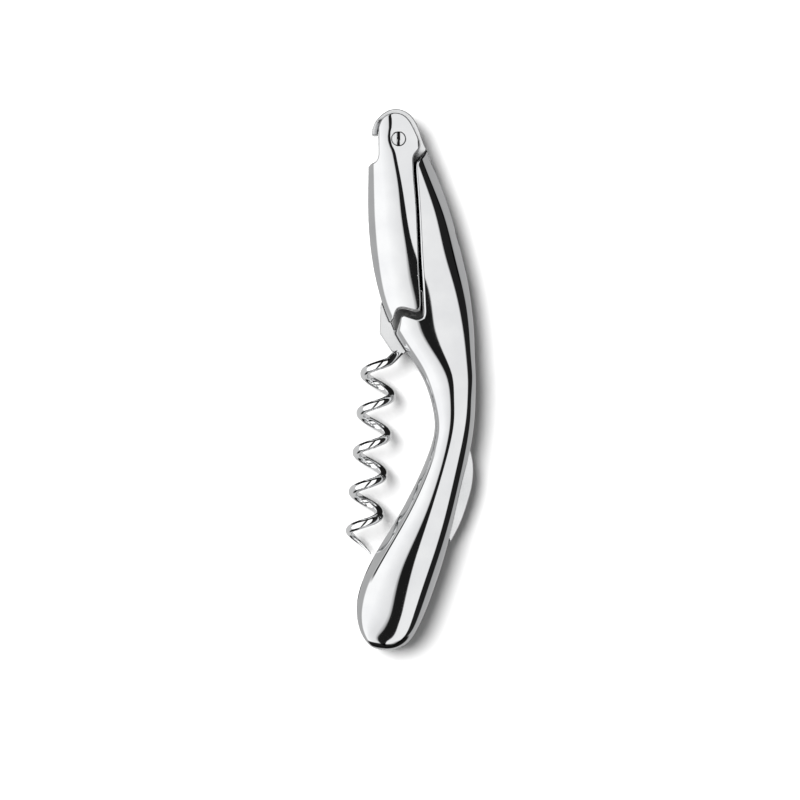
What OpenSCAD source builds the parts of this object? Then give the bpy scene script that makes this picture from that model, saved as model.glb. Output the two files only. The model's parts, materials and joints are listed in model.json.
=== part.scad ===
// Lever corkscrew, lying on its side: +Y along the handle towards the lever's pivot, +Z up.
// The origin is under the middle of its box, on the flat that it lies on.

/* [Handle] */
// Thickness across both shells at the crest
handle_t = 13; // [12.6:0.1:14]
// Thickness of the middle plate and of the gap between the shells
core_t = 4.4; // [4.3:0.1:4.5]
// Depth of the flat that the far shell lies on
rest_flat = 0.1; // [0.05:0.01:0.12]
// Roundness of the crowned section: 2 is an ellipse, more is squarer
crown_power = 2.2; // [2:0.1:3]

/* [Lever] */
// Width of the channel between the lever's cheeks
lever_slot = 4.7; // [4.65:0.05:4.8]
// Radius of the clearance that the shells leave round the ears
shoulder_r = 6.6; // [6.5:0.05:6.8]

/* [Worm] */
// Radius of the wire's centre line
worm_r = 3.35; // [3.2:0.05:3.4]
// Thickness of the wire
wire_d = 2.15; // [1.8:0.05:2.2]
// Distance from one turn to the next
worm_pitch = 9.2; // [9:0.1:9.4]
// Lean of the stowed worm from the handle's length
worm_lean = 5.6; // [5:0.1:6]
// Angle that the worm swings open
worm_open = 84; // [60:1:84]
// Thickness of the worm's hub
hub_t = 3.8; // [3.6:0.05:3.85]

/* [Knife] */
// Thickness of the foil knife
blade_t = 1.2; // [1:0.1:1.4]
// Angle that the knife swings open
knife_open = 150; // [90:1:150]

/* [Pins] */
// Radius of the lever screw's and its nut's heads
screw_head_r = 1.6; // [1.5:0.05:1.7]
// Radius of the lever screw's bearing shoulder
screw_r = 1.25; // [1.1:0.05:1.3]
// Radius of the worm's pin
worm_pin_r = 1; // [0.8:0.05:1.1]
// Radius of the knife's pin
knife_pin_r = 0.9; // [0.8:0.05:1]
// Radius of the two stop pins and the spring's rivet
stop_r = 0.6; // [0.5:0.05:0.7]
// Radius of the dowels
dowel_r = 0.8; // [0.6:0.05:0.9]
// Radial clearance of everything that turns
run_gap = 0.05; // [0.03:0.01:0.08]

/* [Hidden] */
$fn = 48;

crest = handle_t / 2;
core_z = core_t / 2;
slot_z = lever_slot / 2;
mid_z = crest - rest_flat;
far_away = 90;

polished = [0.86, 0.86, 0.87];
satin = [0.62, 0.63, 0.65];
spring_blue = [0.42, 0.45, 0.5];

// Pivots of the three moving pieces, and where the fixed pins stand
lever_pivot = [-2.65, 55.4];
worm_pivot = [-0.2, 10.8];
knife_pivot = [11.5, -12.5];
neck_dowel_places = [[5.2, 40], [8.2, 27], [11.6, 8], [2.2, -30]];
butt_dowel_places = [[-7, -51], [-1.5, -46.5]];
rivet_place = [7.2, -0.4];

// Ribs of the crowned body from its upper end to its butt. Each is
// [inner edge x, y, back edge x, y, height of its crest (1 is full), place of its crest (0 inner, 1 back)]
ribs = [
    [-9.2, 66, 2, 66, 0.8, 0.42],
    [-9.5, 56, 2.9, 56, 0.85, 0.43],
    [-9.7, 46, 6.4, 46.5, 0.92, 0.44],
    [-9.7, 38, 9.3, 38.5, 0.97, 0.44],
    [-9.1, 30, 11.5, 30.6, 0.99, 0.42],
    [-7.9, 23, 13.2, 23.5, 1, 0.41],
    [-6.2, 17, 14.2, 17.2, 0.99, 0.39],
    [-3.75, 11.2, 14.8, 11.2, 0.965, 0.4],
    [-0.55, 6, 15, 5.4, 0.93, 0.44],
    [2.6, 1, 15.2, 0.2, 0.89, 0.48],
    [4.65, -4.2, 15.15, -4.6, 0.86, 0.46],
    [5.7, -9.6, 14.9, -9.6, 0.85, 0.41],
    [5.2, -14.4, 13.9, -16.4, 0.86, 0.41],
    [2.95, -20.65, 12.1, -23.6, 0.89, 0.46],
    [-0.7, -28.2, 10.1, -32.4, 0.93, 0.49],
    [-4.65, -35.1, 7.9, -41.15, 0.97, 0.5],
    [-8.45, -41.3, 5.65, -48.1, 1, 0.55],
    [-11.1, -47, 3.55, -53.7, 1, 0.58],
    [-12.35, -52.3, 1, -58.9, 0.95, 0.57],
    [-11.8, -57.5, -1.45, -61.65, 0.82, 0.5],
    [-10.2, -60.6, -3.8, -62.5, 0.65, 0.44],
    [-8.9, -61.9, -5.6, -62.7, 0.46, 0.42]
];
// How much wider the lever's own ribs are at the ears, where its cheeks stay nearly flat
ear_flare = [4.5, 4.9, 2.2, 0.6];
// Most that the lever's cheeks may rise, as a part of the crest, so that they clear the resting flats
lever_rise = 0.98;

// Outline of the lever's ear, from its front edge over the top to its back edge
ear = [[-7.3, 58.0], [-6.9, 59.2], [-6.2, 60.3], [-5.2, 61.0], [-3.9, 61.4], [-2.4, 61.3], [-1.1, 60.7],
    [-0.1, 59.7], [0.7, 58.4], [1.4, 57.0], [2.1, 55.4], [2.35, 54.2], [2.15, 53.2], [1.5, 52.4],
    [0.95, 51.6], [0.75, 50.6], [0.8, 49.4]];
lever_back = [[0.95, 46.3], [1.35, 41.7], [1.7, 35], [1.95, 28], [2.25, 22], [2.45, 16.6], [2.2, 16.1]];
lever_foot = [[1.1, 16.0], [-0.6, 16.4], [-2.0, 16.6], [-2.9, 16.3], [-3.4, 15.5], [-3.9, 14.1], [-4.3, 13.4],
    [-4.8, 13.1]];
lever_step = [[-9.5, 49.3], [-9.2, 49.7], [-8.3, 50.1], [-7.6, 50.8], [-7.3, 51.8]];
web_inner = [[-8.1, 47], [-8.2, 38], [-7.6, 30], [-6.4, 23], [-4.6, 17]];

// Edge of the shells along the lever's recess, from the shoulder down to the nose
recess = [[1.35, 49.5], [1.45, 46.3], [1.8, 41.7], [2.15, 35], [2.45, 28], [2.8, 22], [3.05, 17], [3.1, 15.3],
    [2.8, 14.3], [1.9, 13.95], [0.7, 14.1], [-0.6, 14.5], [-1.5, 14.75], [-2.2, 14.3], [-2.5, 13.1], [-2.85, 11.9],
    [-3.3, 10.9]];

// Cap lifter: outer line from the back edge over the top to the tip, then the inner line to the tongue's front
hook_outer = [[4.5, 51.9], [3.8, 53.4], [3.1, 54.9], [2.4, 57.0], [1.5, 59.2], [0.2, 61.1], [-1.6, 62.3],
    [-3.4, 62.65], [-5.2, 62.2], [-6.9, 61.0], [-8.2, 59.4], [-8.8, 57.8], [-8.85, 56.9], [-8.4, 56.6]];
hook_inner = [[-7.9, 56.9], [-7.7, 58.0], [-7.1, 59.1], [-6.3, 59.3], [-5.7, 58.6], [-5.6, 57.4], [-5.8, 55],
    [-6.0, 52.5]];
core_front = [[-5.4, 49.5], [-4.2, 46], [-2.6, 38], [-1.6, 30], [-0.9, 24], [-0.6, 20.8]];

// Hub: its long heel lies beside the lever's foot and meets the stop pin when the worm is open
heel = [[-6.4, 18.5], [-6.9, 17.2], [-7.1, 10.7], [-4.3, 6.5], [-1.4, 5.9], [1.4, 8.4], [-0.9, 12.0], [-3.7, 11.5]];
heel_face = [heel[7], heel[0]];
hub_r = 2.9;
hub_sweep_r = 10.15;

// Foil knife: spine from its root to the point, then the cutting edge back to the root
knife_spine = [[13.3, -14.0], [14.1, -16.7], [14.6, -19.2], [14.7, -21.8], [14.3, -25.2], [13.2, -29.2],
    [11.6, -33.6], [9.3, -38.0]];
knife_edge = [[8.6, -35.2], [8.2, -31], [8.2, -26], [8.6, -20.5], [9.3, -16], [9.6, -13.8]];
knife_root_r = 2.5;
knife_slot = [[20, 4.5], [15.2, 2], [12.2, -3.6], [9.6, -6.6], [8.9, -8.8], [8.6, -11.6], [8.5, -16], [7.9, -22],
    [7.4, -28], [7.4, -33], [7.8, -38.7], [20, -41.5]];

spring_line = [[3.75, 9.3], [5.4, 5.4], [7.0, 0.6], [7.9, -4.4], [8.6, -8.2], [9.25, -10.15]];
spring_w = 1.2;
rivet_pad_r = 1.4;
butt_zone = [[-20, -40.5], [14, -43.6], [14, -70], [-20, -70]];

// ---- curves -------------------------------------------------------------

// Value between b and c of a smooth curve through a, b, c and d
function between(a, b, c, d, t) =
    0.5 * (2 * b + (c - a) * t + (2 * a - 5 * b + 4 * c - d) * t * t + (3 * b - 3 * c + d - a) * t * t * t);
// The list with its steps filled in by a smooth curve
function smooth(p, steps) = [
    for (i = [0 : len(p) - 2])
        for (k = [0 : steps - 1])
            between(p[max(i - 1, 0)], p[i], p[i + 1], p[min(i + 2, len(p) - 1)], k / steps),
    p[len(p) - 1]
];
function turned(p, a) = [p.x * cos(a) - p.y * sin(a), p.x * sin(a) + p.y * cos(a)];
function turned_about(p, c, a) = c + turned(p - c, a);
function unit(v) = v / norm(v);
function left_of(v) = [-v.y, v.x];
// Both sides of a strip of width w along the line p
function strip(p, w) = [
    for (side = [1, -1])
        for (k = [0 : len(p) - 1])
            let (i = side > 0 ? k : len(p) - 1 - k,
                along = unit(p[min(i + 1, len(p) - 1)] - p[max(i - 1, 0)]))
            p[i] + side * w / 2 * left_of(along)
];

// ---- crowned body -------------------------------------------------------

crown_steps = 8;
body_ribs = smooth(ribs, 2);
lever_ribs = smooth([
    for (i = [0 : 8])
        let (s = ribs[i], flare = i < len(ear_flare) ? ear_flare[i] : 0, w = s[2] - s[0])
        [s[0], s[1], s[2] + flare, s[3], min(s[4], lever_rise), s[5] * w / (w + flare)]
], 2);

// Points over one rib, from its inner edge over the crest to its back edge
function rib_arch(s) = [
    for (k = [0 : crown_steps])
        let (a = 180 * k / crown_steps,
            along = -sign(cos(a)) * pow(abs(cos(a)), 2 / crown_power),
            up = pow(abs(sin(a)), 2 / crown_power),
            place = s[5] + along * (along < 0 ? s[5] : 1 - s[5]))
        [s[0] + (s[2] - s[0]) * place, s[1] + (s[3] - s[1]) * place, core_z + (crest * s[4] - core_z) * up]
];
// Points all round one rib: over the top, then back underneath
function rib_ring(s) =
    let (arch = rib_arch(s))
    concat(arch, [for (k = [crown_steps : -1 : 0]) [arch[k].x, arch[k].y, -arch[k].z]]);

// Solid skin over rings that all have the same number of points
module skin(rings) {
    n = len(rings[0]);
    last = len(rings) - 1;
    polyhedron(
        points = [for (r = rings) for (p = r) p],
        faces = [
            for (k = [1 : n - 2]) [0, k, k + 1],
            for (i = [0 : last - 1])
                for (k = [0 : n - 1])
                    for (f = [
                        [i * n + k, (i + 1) * n + k, (i + 1) * n + (k + 1) % n],
                        [i * n + k, (i + 1) * n + (k + 1) % n, i * n + (k + 1) % n]
                    ]) f,
            for (k = [1 : n - 2]) [last * n, last * n + k + 1, last * n + k]
        ]);
}

// Plate of thickness t about the middle plane
module plate(t) {
    linear_extrude(t, center = true) children();
}

module pins_at(places, r, half_length) {
    for (p = places) translate(p) cylinder(r = r, h = 2 * half_length, center = true);
}

module washer_pair(place, r, bore_r, z_in, z_out) {
    for (side = [0, 1])
        mirror([0, 0, side]) translate([place.x, place.y, z_in])
            linear_extrude(z_out - z_in) difference() {
                circle(r);
                circle(bore_r);
            }
}

// ---- handle -------------------------------------------------------------

worm_pin_half = 4.4;
knife_pin_half = 4.2;
stop_half = 3.4;
dowel_half = 3.6;

// The worm's stop stands against the opened heel, and the knife's against its opened spine
heel_open = [for (p = heel_face) turned_about(p, worm_pivot, -worm_open)];
heel_out = -left_of(unit(heel_open[1] - heel_open[0]));
worm_stop = heel_open[0] * 0.35 + heel_open[1] * 0.65 + heel_out * (stop_r + 0.1);
root_open = [for (p = [knife_spine[0], knife_spine[1]]) turned_about(p, knife_pivot, knife_open)];
root_out = left_of(unit(root_open[1] - root_open[0]));
knife_stop = root_open[0] * 0.25 + root_open[1] * 0.75 + root_out * (stop_r + 0.1);

module lever_room() {
    translate(lever_pivot) circle(r = shoulder_r, $fn = 96);
    polygon(concat(
        [[-30, 80], [20, 80], [20, 53.6], [2.5, 53.6]],
        smooth(recess, 2),
        [[-30, 10.9]]));
}

module all_pin_holes() {
    pins_at([worm_pivot], worm_pin_r, worm_pin_half);
    pins_at([knife_pivot], knife_pin_r, knife_pin_half);
    pins_at([worm_stop, knife_stop, rivet_place], stop_r, stop_half);
    pins_at(concat(neck_dowel_places, butt_dowel_places), dowel_r, dowel_half);
}

// The upper half of the handle, less the lever's recess and the pin holes
module shell() {
    difference() {
        skin([for (s = body_ribs) rib_arch(s)]);
        plate(3 * crest) lever_room();
        all_pin_holes();
    }
}

module near_shell() {
    color(polished) shell();
}

// Its flat is what the whole tool lies on
module far_shell() {
    color(polished) difference() {
        mirror([0, 0, 1]) shell();
        translate([-far_away, -far_away, -mid_z - 10]) cube([2 * far_away, 2 * far_away, 10]);
    }
}

// The handle's outline in the middle plane, with the tongue and the cap lifter
module core_outline() {
    inner = [for (i = [12 : len(body_ribs) - 1]) [body_ribs[i][0], body_ribs[i][1]]];
    back = [for (i = [len(body_ribs) - 1 : -1 : 4]) [body_ribs[i][2], body_ribs[i][3]]];
    polygon(concat(inner, back, smooth(hook_outer, 3), smooth(hook_inner, 2), smooth(core_front, 2)));
}

module hub_pocket() {
    translate(worm_pivot) {
        circle(r = hub_r + 0.4);
        polygon([[-20, 10.1], [0.5, 10.1], [0.5, 0], [2.6, -2.4], [1.2, -6.4], [-20, -14]]);
        intersection() {
            circle(r = hub_sweep_r, $fn = 96);
            polygon([[-1, 0], [1.2, 2.1], [12, 8.1], [12, 12], [-1, 12]]);
        }
    }
}

module spring_channel() {
    polygon(strip(smooth(spring_line, 2), spring_w + 0.5));
    translate(rivet_place) circle(r = rivet_pad_r + 0.25);
}

washer_recess = 0.3;
lever_washer_r = 2.6;

module core_plate() {
    color(satin) difference() {
        plate(core_t) difference() {
            core_outline();
            polygon(butt_zone);
            hub_pocket();
            polygon(knife_slot);
            translate(knife_pivot) circle(r = knife_root_r + 0.4);
            spring_channel();
        }
        pins_at([lever_pivot], screw_r, core_t);
        pins_at(neck_dowel_places, dowel_r, core_t);
        washer_pair(lever_pivot, lever_washer_r + 0.1, 0.1, core_z - washer_recess, core_z + 1);
    }
}

module butt_spacer() {
    color(satin) difference() {
        plate(core_t) intersection() {
            core_outline();
            polygon(butt_zone);
        }
        pins_at(butt_dowel_places, dowel_r, core_t);
    }
}

module neck_dowels() {
    color(satin) pins_at(neck_dowel_places, dowel_r, dowel_half);
}

module butt_dowels() {
    color(satin) pins_at(butt_dowel_places, dowel_r, dowel_half);
}

module back_spring() {
    color(spring_blue) difference() {
        union() {
            plate(core_t - 0.2) polygon(strip(smooth(spring_line, 2), spring_w));
            pins_at([rivet_place], rivet_pad_r, core_z - 0.1);
        }
        pins_at([rivet_place], stop_r, core_t);
    }
}

module spring_rivet() {
    color(satin) pins_at([rivet_place], stop_r, stop_half);
}

// ---- lever --------------------------------------------------------------

head_seat_z = 4.2;
head_top_z = 5.5;
screw_core_r = 0.8;
nut_end_z = 2.3;
slot_w = 0.45;
slot_depth = 0.5;

module lever_outline() {
    polygon(concat(smooth(ear, 2), smooth(lever_back, 2), smooth(lever_foot, 2), [[-14, 13.1], [-14, 49.3]],
        smooth(lever_step, 2)));
}

module lever_channel() {
    polygon(concat([[-8.1, 80]], smooth(web_inner, 2), [[-2, 5], [20, 5], [20, 80]]));
    translate(worm_pivot) circle(r = hub_sweep_r + 0.3, $fn = 96);
}

module lever() {
    color(polished) difference() {
        intersection() {
            skin([for (s = lever_ribs) rib_ring(s)]);
            plate(3 * crest) lever_outline();
        }
        plate(lever_slot) lever_channel();
        pins_at([lever_pivot], screw_r + run_gap, crest);
        washer_pair(lever_pivot, screw_head_r + run_gap, 0.1, head_seat_z, 2 * crest);
    }
}

module lever_screw() {
    color(satin) translate(lever_pivot) difference() {
        union() {
            translate([0, 0, head_seat_z]) cylinder(r = screw_head_r, h = head_top_z - head_seat_z);
            translate([0, 0, nut_end_z]) cylinder(r = screw_r, h = head_seat_z - nut_end_z);
            translate([0, 0, -2]) cylinder(r = screw_core_r, h = nut_end_z + 2);
        }
        translate([-slot_w / 2, -2, head_top_z - slot_depth]) cube([slot_w, 4, 1]);
    }
}

module lever_nut() {
    color(satin) translate(lever_pivot) difference() {
        union() {
            translate([0, 0, -head_top_z]) cylinder(r = screw_head_r, h = head_top_z - head_seat_z);
            translate([0, 0, -head_seat_z]) cylinder(r = screw_r, h = head_seat_z + nut_end_z);
        }
        translate([0, 0, -2.4]) cylinder(r = screw_core_r, h = 6);
        translate([-slot_w / 2, -2, -head_top_z + slot_depth - 1]) cube([slot_w, 4, 1]);
    }
}

module lever_washers() {
    color(satin) washer_pair(lever_pivot, lever_washer_r, screw_r, core_z - washer_recess, slot_z - run_gap);
}

// ---- worm ---------------------------------------------------------------

turns = 4.86;
turn_steps = 16;
wire_sides = 8;
first_turn = 0.15;
taper_turns = 0.5;
tip_drop = 1.7;
point_r = 0.12;
axis_top = [-6.75, 5.6];
axis_down = [-sin(worm_lean), -cos(worm_lean), 0];
axis_right = [cos(worm_lean), -sin(worm_lean), 0];
wire_root = [[-0.5, 9.2, 0], [-1.25, 7.8, 0.05], [-2.2, 6.7, 0.6]];

// How far along its last, leftmost bend the wire is: 0 before it, 1 at the point
function ending(t) = max(0, (t - 4.5) / (turns - 4.5));
function coil(t) = [axis_top.x, axis_top.y, 0] + axis_down * (worm_pitch * t + tip_drop * pow(ending(t), 2))
    + worm_r * (cos(360 * t) * axis_right + [0, 0, sin(360 * t)]);
coil_places = [for (k = [0 : (turns - first_turn) * turn_steps]) first_turn + k / turn_steps];
wire_line = concat(
    [for (p = smooth([wire_root[0], wire_root[1], wire_root[2], coil(first_turn)], 3)) p],
    [for (k = [1 : len(coil_places) - 1]) coil(coil_places[k])],
    [coil(turns)]);
function wire_radius(i) =
    let (left = (len(wire_line) - 1 - i) / (taper_turns * turn_steps))
    left >= 1 ? wire_d / 2 : point_r + (wire_d / 2 - point_r) * pow(left, 0.8);

// Ring of the wire at point i, kept square to the wire and turned towards the coil's axis
function wire_ring(i) =
    let (n = len(wire_line), p = wire_line[i],
        along = unit(wire_line[min(i + 1, n - 1)] - wire_line[max(i - 1, 0)]),
        from_top = p - [axis_top.x, axis_top.y, 0],
        out = from_top - axis_down * (from_top * axis_down),
        side = unit(out - along * (out * along)),
        other = cross(along, side))
    [for (k = [0 : wire_sides - 1])
        p + wire_radius(i) * (cos(360 * k / wire_sides) * side - sin(360 * k / wire_sides) * other)];

module worm() {
    color(polished) skin([for (i = [0 : len(wire_line) - 1]) wire_ring(i)]);
}

module worm_hub() {
    color(polished) difference() {
        plate(hub_t) union() {
            polygon(heel);
            translate(worm_pivot) circle(r = hub_r);
        }
        pins_at([worm_pivot], worm_pin_r + run_gap, core_t);
    }
}

module worm_pin() {
    color(satin) pins_at([worm_pivot], worm_pin_r, worm_pin_half);
}

module worm_washers() {
    color(satin) washer_pair(worm_pivot, hub_r - 0.2, worm_pin_r, hub_t / 2 + run_gap, core_z);
}

module worm_stop_pin() {
    color(satin) pins_at([worm_stop], stop_r, stop_half);
}

// ---- foil knife ---------------------------------------------------------

module knife_blade() {
    color(satin) difference() {
        union() {
            plate(blade_t) polygon(concat(smooth(knife_spine, 2), smooth(knife_edge, 2)));
            translate([knife_pivot.x, knife_pivot.y, -blade_t / 2]) cylinder(r = knife_root_r, h = blade_t);
        }
        pins_at([knife_pivot], knife_pin_r + run_gap, core_t);
    }
}

module knife_pin() {
    color(satin) pins_at([knife_pivot], knife_pin_r, knife_pin_half);
}

module knife_washers() {
    color(satin) washer_pair(knife_pivot, knife_root_r - 0.1, knife_pin_r, blade_t / 2 + run_gap, core_z);
}

module knife_stop_pin() {
    color(satin) pins_at([knife_stop], stop_r, stop_half);
}

// ---- assembly -----------------------------------------------------------

module lying() {
    translate([0, 0, mid_z]) children();
}

lying() near_shell();
lying() far_shell();
lying() core_plate();
lying() butt_spacer();
lying() neck_dowels();
lying() butt_dowels();
lying() lever();
lying() lever_screw();
lying() lever_nut();
lying() lever_washers();
lying() worm();
lying() worm_hub();
lying() worm_pin();
lying() worm_washers();
lying() worm_stop_pin();
lying() knife_blade();
lying() knife_pin();
lying() knife_washers();
lying() knife_stop_pin();
lying() back_spring();
lying() spring_rivet();
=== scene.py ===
"""Looks of the lever corkscrew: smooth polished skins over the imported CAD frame.

Shapes are worked out in millimetres about the handle's middle plane, and put into the frame at the end.
"""

import json
import math

import bpy
import numpy as np
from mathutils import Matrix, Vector
from mathutils.geometry import delaunay_2d_cdt


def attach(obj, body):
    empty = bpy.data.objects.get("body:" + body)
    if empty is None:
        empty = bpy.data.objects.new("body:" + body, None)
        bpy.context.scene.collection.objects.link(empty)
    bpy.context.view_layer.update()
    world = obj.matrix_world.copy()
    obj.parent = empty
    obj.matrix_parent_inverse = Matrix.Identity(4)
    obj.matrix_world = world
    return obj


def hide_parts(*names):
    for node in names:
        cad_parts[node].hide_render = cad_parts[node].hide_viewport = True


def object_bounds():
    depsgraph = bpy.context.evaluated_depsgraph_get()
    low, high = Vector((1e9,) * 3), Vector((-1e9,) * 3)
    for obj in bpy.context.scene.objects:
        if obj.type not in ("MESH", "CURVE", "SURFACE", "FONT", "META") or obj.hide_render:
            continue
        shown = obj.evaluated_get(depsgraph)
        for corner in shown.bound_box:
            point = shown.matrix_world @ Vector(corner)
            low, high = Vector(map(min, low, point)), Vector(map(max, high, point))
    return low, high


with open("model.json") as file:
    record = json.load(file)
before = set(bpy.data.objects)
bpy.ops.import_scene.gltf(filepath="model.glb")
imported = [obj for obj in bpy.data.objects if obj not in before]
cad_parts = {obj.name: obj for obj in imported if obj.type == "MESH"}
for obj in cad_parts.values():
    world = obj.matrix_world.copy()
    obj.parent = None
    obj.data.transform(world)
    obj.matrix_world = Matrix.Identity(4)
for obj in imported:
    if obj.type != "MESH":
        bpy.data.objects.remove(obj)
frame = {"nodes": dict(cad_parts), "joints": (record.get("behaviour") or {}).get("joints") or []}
CAD_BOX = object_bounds()

MM = 0.001
JOINTS = {j["name"]: j for j in frame["joints"]}
MID_Z = JOINTS["lever_hinge"]["pos_m"][2] / MM

# Heights from the middle plane: the highest crest, the core's faces, the lever's slot, and the resting flats
CREST = 6.5
CORE = 2.2
SLOT = 2.35
FLAT_Z = -6.4

# Ribs of the crowned body, the butt last: inner edge x, y, back edge x, y, and the crest's height over CREST
RIBS = [
    [-9.2, 66, 2, 66, 0.8],
    [-9.5, 56, 2.9, 56, 0.85],
    [-9.7, 46, 6.4, 46.5, 0.92],
    [-9.7, 38, 9.3, 38.5, 0.97],
    [-9.1, 30, 11.5, 30.6, 0.99],
    [-7.9, 23, 13.2, 23.5, 1],
    [-6.2, 17, 14.2, 17.2, 0.99],
    [-3.75, 11.2, 14.8, 11.2, 0.965],
    [-0.55, 6, 15, 5.4, 0.93],
    [2.6, 1, 15.2, 0.2, 0.89],
    [4.65, -4.2, 15.15, -4.6, 0.86],
    [5.7, -9.6, 14.9, -9.6, 0.85],
    [5.2, -14.4, 13.9, -16.4, 0.86],
    [2.95, -20.65, 12.1, -23.6, 0.89],
    [-0.7, -28.2, 10.1, -32.4, 0.93],
    [-4.65, -35.1, 7.9, -41.15, 0.97],
    [-8.45, -41.3, 5.65, -48.1, 1],
    [-11.1, -47, 3.55, -53.7, 1],
    [-12.35, -52.3, 1, -58.9, 0.95],
    [-11.8, -57.5, -1.45, -61.65, 0.82],
    [-10.2, -60.6, -3.8, -62.5, 0.65],
    [-8.9, -61.9, -5.6, -62.7, 0.46],
    [-7.9, -62.4, -6.8, -62.65, 0.345],
]
# How much wider the lever's own ribs are at its ears, and the most that their crests rise over CREST
EAR_FLARE = [4.5, 4.9, 2.2, 0.6]
LEVER_RISE = 0.98
# On the arch's scale of angles: its crest, where its steep part ends, and the least that the part spans
CREST_ANGLE = 90
STEEP = 50
STEEP_LEAST = 10
# At each rib, how far across it the surface leans by each of the angles in LEANS (0 inner edge, 1 back edge)
LEANS = [-40, -4, 4, 20, 40]
BANDS = [
    [0.075, 0.370, 0.435, 0.780, 0.880],
    [0.075, 0.370, 0.435, 0.785, 0.885],
    [0.076, 0.419, 0.460, 0.793, 0.894],
    [0.075, 0.402, 0.457, 0.814, 0.920],
    [0.069, 0.399, 0.473, 0.813, 0.926],
    [0.055, 0.378, 0.542, 0.831, 0.930],
    [0.044, 0.373, 0.554, 0.853, 0.941],
    [0.060, 0.340, 0.525, 0.865, 0.940],
    [0.055, 0.398, 0.547, 0.871, 0.940],
    [0.069, 0.461, 0.574, 0.853, 0.936],
    [0.087, 0.444, 0.526, 0.821, 0.903],
    [0.105, 0.395, 0.485, 0.780, 0.890],
    [0.122, 0.381, 0.457, 0.751, 0.888],
    [0.137, 0.421, 0.482, 0.787, 0.924],
    [0.134, 0.446, 0.515, 0.812, 0.926],
    [0.119, 0.443, 0.557, 0.816, 0.910],
    [0.114, 0.460, 0.619, 0.827, 0.916],
    [0.090, 0.495, 0.662, 0.843, 0.929],
    [0.085, 0.480, 0.637, 0.859, 0.939],
    [0.080, 0.260, 0.400, 0.820, 0.905],
    [0.070, 0.150, 0.290, 0.800, 0.900],
    [0.060, 0.130, 0.260, 0.790, 0.900],
    [0.060, 0.130, 0.260, 0.790, 0.900],
]
# The same at the lever's first two ribs, where its ears are flatter
EAR_BANDS = [
    [0.075, 0.370, 0.420, 0.940, 0.975],
    [0.075, 0.395, 0.440, 0.900, 0.960],
]

# Where the pivots and the spring's rivet stand in the plan
LEVER_PIVOT = (-2.65, 55.4)
WORM_PIVOT = (-0.2, 10.8)
KNIFE_PIVOT = (11.5, -12.5)
RIVET = (7.2, -0.4)

# Outlines in the plan
EAR = [[-7.3, 58.0], [-6.9, 59.2], [-6.2, 60.3], [-5.2, 61.0], [-3.9, 61.4], [-2.4, 61.3], [-1.1, 60.7],
       [-0.1, 59.7], [0.7, 58.4], [1.4, 57.0], [2.1, 55.4], [2.35, 54.2], [2.15, 53.2], [1.5, 52.4],
       [0.95, 51.6], [0.75, 50.6], [0.8, 49.4]]
LEVER_BACK = [[0.8, 49.4], [0.95, 46.3], [1.35, 41.7], [1.7, 35], [1.95, 28], [2.25, 22], [2.45, 16.6],
              [2.2, 16.1]]
LEVER_FOOT = [[2.2, 16.1], [1.1, 16.0], [-0.6, 16.4], [-2.0, 16.6], [-2.9, 16.3], [-3.4, 15.5], [-3.9, 14.1],
              [-4.3, 13.4], [-4.8, 13.1], [-6.5, 13.0]]
LEVER_STEP = [[-11, 49.25], [-9.5, 49.3], [-9.2, 49.7], [-8.3, 50.1], [-7.6, 50.8], [-7.3, 51.8]]
WEB_INNER = [[-8.1, 51.5], [-8.1, 47], [-8.2, 38], [-7.6, 30], [-6.4, 23], [-5.6, 20.2], [-6.05, 19.5],
             [-6.6, 19.05], [-7.6, 18.6]]
RECESS = [[1.55, 50.2], [1.35, 49.4], [1.45, 46.3], [1.8, 41.7], [2.15, 35], [2.45, 28], [2.8, 22],
          [3.05, 17], [3.1, 15.3], [2.8, 14.3], [1.9, 13.95], [0.7, 14.1], [-0.6, 14.5], [-1.5, 14.75],
          [-2.2, 14.3], [-2.5, 13.1], [-2.85, 11.9], [-3.3, 10.9], [-3.8, 9.9]]
HOOK_OUTER = [[4.5, 51.9], [3.8, 53.4], [3.1, 54.9], [2.4, 57.0], [1.5, 59.2], [0.2, 61.1], [-1.6, 62.3],
              [-3.4, 62.65], [-5.2, 62.2], [-6.9, 61.0], [-8.2, 59.4], [-8.8, 57.8], [-8.85, 56.9],
              [-8.4, 56.6]]
HOOK_INNER = [[-7.5, 56.75], [-7.35, 57.9], [-6.9, 58.9], [-6.3, 59.3], [-5.7, 58.6], [-5.6, 57.4],
              [-5.8, 55], [-6.0, 52.5]]
CORE_FRONT = [[-5.4, 49.5], [-4.2, 46], [-2.6, 38], [-1.6, 30], [-0.9, 24], [-0.6, 20.8]]
KNIFE_SLOT = [[20, 4.5], [15.2, 2], [12.2, -3.6], [9.6, -6.6], [8.9, -8.8], [8.6, -11.6], [8.5, -16],
              [7.9, -22], [7.4, -28], [7.4, -33], [7.8, -38.7], [20, -41.5]]
HUB_HEEL = [[-3.7, 11.5], [-6.4, 18.5], [-6.9, 17.2], [-7.1, 10.7], [-4.3, 6.5], [-1.4, 5.9]]
BLADE_SPINE = [[13.3, -14.0], [14.1, -16.7], [14.6, -19.2], [14.7, -21.8], [14.3, -25.2], [13.2, -29.2],
               [11.6, -33.6], [9.3, -38.0]]
BLADE_EDGE = [[8.6, -35.2], [8.2, -31], [8.2, -26], [8.6, -20.5], [9.3, -16], [9.6, -13.8]]
SPRING_LINE = [[3.75, 9.3], [5.4, 5.4], [7.0, 0.6], [7.9, -4.4], [8.6, -8.2], [9.25, -10.15]]
# Half the width of the room along the spring's line
SPRING_ROOM = 0.85
# Corners of the worm hub's rooms, from its pivot
HUB_ROOM = [[-20, 10.1], [0.5, 10.1], [0.5, 0], [2.6, -2.4], [1.2, -6.4], [-20, -14]]
SWING_ROOM = [[-1, 0], [1.2, 2.1]]
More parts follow.
